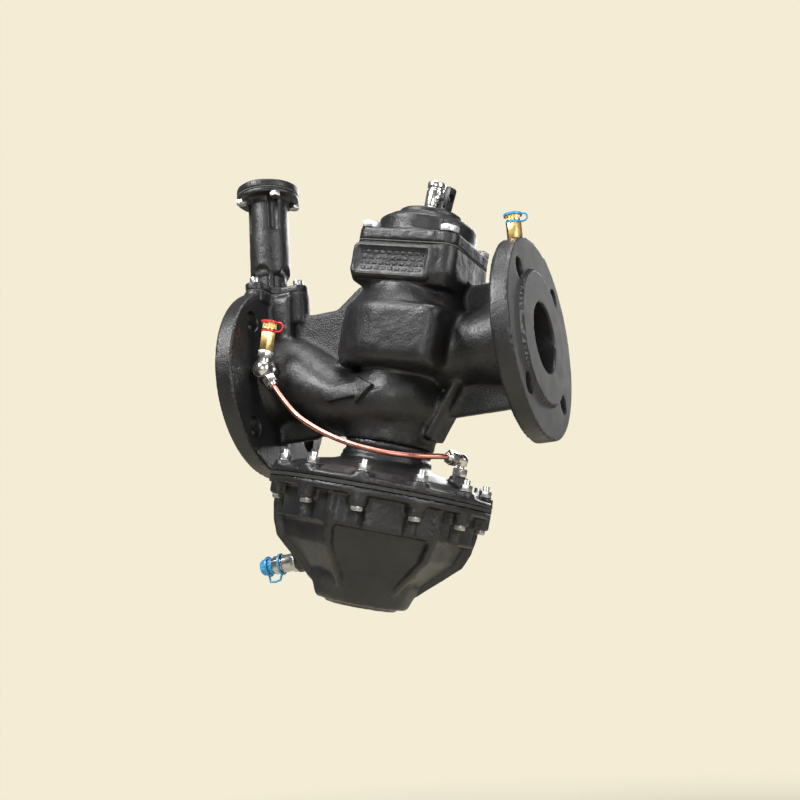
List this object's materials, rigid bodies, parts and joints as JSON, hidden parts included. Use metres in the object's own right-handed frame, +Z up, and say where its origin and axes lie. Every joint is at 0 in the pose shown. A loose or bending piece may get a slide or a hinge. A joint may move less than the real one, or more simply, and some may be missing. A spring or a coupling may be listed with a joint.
{
  "type": "pressure reducing valve",
  "caption": "Flanged inclined-spindle diaphragm valve body with spring column, impulse tube, test points and vent; holds a set pressure by moving its plug against a spring.",
  "frame": {"origin": "centre of the inlet flange's raised face, on the pipe axis", "axes": "+X along the pipe in the flow direction, +Z up, spindle leaning in the XZ plane"},
  "size_m": [0.3114, 0.207, 0.4358],
  "materials": {
    "black_casting": "painted, semi-gloss over a fine cast texture",
    "zinc_fastener": "zinc plated",
    "stainless": "turned stainless steel",
    "brass": "turned brass",
    "nickel": "nickel plated",
    "copper": "drawn copper tube",
    "black_plastic": "moulded",
    "red_plastic": "moulded strap",
    "blue_plastic": "moulded strap and cap",
    "seal_rubber": "moulded elastomer",
    "gasket": "compressed fibre sheet",
    "spring_steel": "oiled spring wire",
    "bush_bronze": "turned bronze",
    "ptfe": "PTFE"
  },
  "bodies": {
    "valve_body": {"body_casting": "black_casting", "bonnet_cover": "black_casting", "upper_diaphragm_cover": "black_casting", "lower_casing": "black_casting", "column_housing": "black_casting", "column_cover": "black_casting", "bonnet_bolts": "zinc_fastener", "casing_bolts": "zinc_fastener", "casing_nuts": "zinc_fastener", "casing_washers": "zinc_fastener", "column_foot_bolts": "zinc_fastener", "column_cover_bolts": "zinc_fastener", "bleed_plug": "zinc_fastener", "seat_ring": "stainless", "spring_seat": "stainless", "pilot_seat": "stainless", "vent_valve_body": "nickel", "stem_seal": "seal_rubber", "neck_seal": "seal_rubber", "diaphragm": "seal_rubber", "lower_guide_bush": "bush_bronze", "upper_guide_bush": "bush_bronze", "bonnet_gasket": "gasket", "column_foot_gasket": "gasket", "column_cover_gasket": "gasket", "vent_valve_seats": "ptfe", "main_spring": "spring_steel", "setpoint_spring": "spring_steel", "inlet_test_tee": "nickel", "inlet_test_plug": "brass", "inlet_cap_strap": "red_plastic", "impulse_tube": "copper", "tube_nut_inlet": "nickel", "tube_nut_casing": "nickel", "casing_elbow": "nickel", "outlet_test_plug": "brass", "outlet_cap_strap": "blue_plastic", "drain_elbow": "stainless", "drain_cock": "nickel", "drain_cap_strap": "blue_plastic"},
    "main_stem": {"stem": "stainless", "main_plug": "stainless", "plug_seal": "seal_rubber", "plug_nut": "stainless", "stem_nut": "stainless", "upper_diaphragm_plate": "stainless", "lower_diaphragm_plate": "stainless"},
    "vent_handle": {"vent_lever": "black_plastic", "vent_lever_nut": "zinc_fastener", "vent_valve_spindle": "stainless", "vent_valve_ball": "nickel"},
    "setpoint_screw": {"adjusting_screw": "stainless"},
    "setpoint_nut": {"upper_spring_plate": "stainless"},
    "pilot": {"pilot_spindle": "stainless", "lower_spring_plate": "stainless"},
    "inlet_cap": {"inlet_test_cap": "brass"},
    "outlet_cap": {"outlet_test_cap": "brass"},
    "drain_cap": {"drain_cap": "blue_plastic"}
  },
  "joints": [
    {"name": "stem_lift", "type": "slide", "parent": "valve_body", "child": "main_stem", "axis": [-0.2588, 0, -0.9659], "range_m": [0, 0.0135], "stiffness_N_per_m": 9000, "springref_m": -0.02, "deforming": ["main_spring", "diaphragm"]},
    {"name": "vent_turn", "type": "hinge", "parent": "valve_body", "child": "vent_handle", "pos_m": [0.19385, 0, 0.15358], "axis": [0.9077, -0.342, -0.2432], "range_deg": [0, 90]},
    {"name": "screw_turn", "type": "hinge", "parent": "valve_body", "child": "setpoint_screw", "pos_m": [0.012, 0, 0.2], "axis": [0, 0, 1], "range_deg": [0, 1800]},
    {"name": "nut_travel", "type": "slide", "parent": "valve_body", "child": "setpoint_nut", "axis": [0, 0, -1], "range_m": [0, 0.0075], "deforming": ["setpoint_spring"]},
    {"name": "pilot_lift", "type": "slide", "parent": "valve_body", "child": "pilot", "axis": [0, 0, 1], "range_m": [0, 0.0015], "stiffness_N_per_m": 4000, "springref_m": -0.004},
    {"name": "inlet_cap_turn", "type": "hinge", "parent": "valve_body", "child": "inlet_cap", "pos_m": [0.034, -0.058, 0], "axis": [0.2, 0, 0.9798], "range_deg": [0, 720]},
    {"name": "outlet_cap_turn", "type": "hinge", "parent": "valve_body", "child": "outlet_cap", "pos_m": [0.278, -0.026, 0.0875], "axis": [0, -0.05, 0.9987], "range_deg": [0, 720]},
    {"name": "drain_cap_turn", "type": "hinge", "parent": "valve_body", "child": "drain_cap", "pos_m": [0.03429, -0.008, -0.17533], "axis": [-0.9902, -0.1001, -0.0975], "range_deg": [0, 720]}
  ],
  "couplings": [
    {"joint": "screw_turn", "follows": "nut_travel", "rad_per_m": 4188.8}
  ]
}
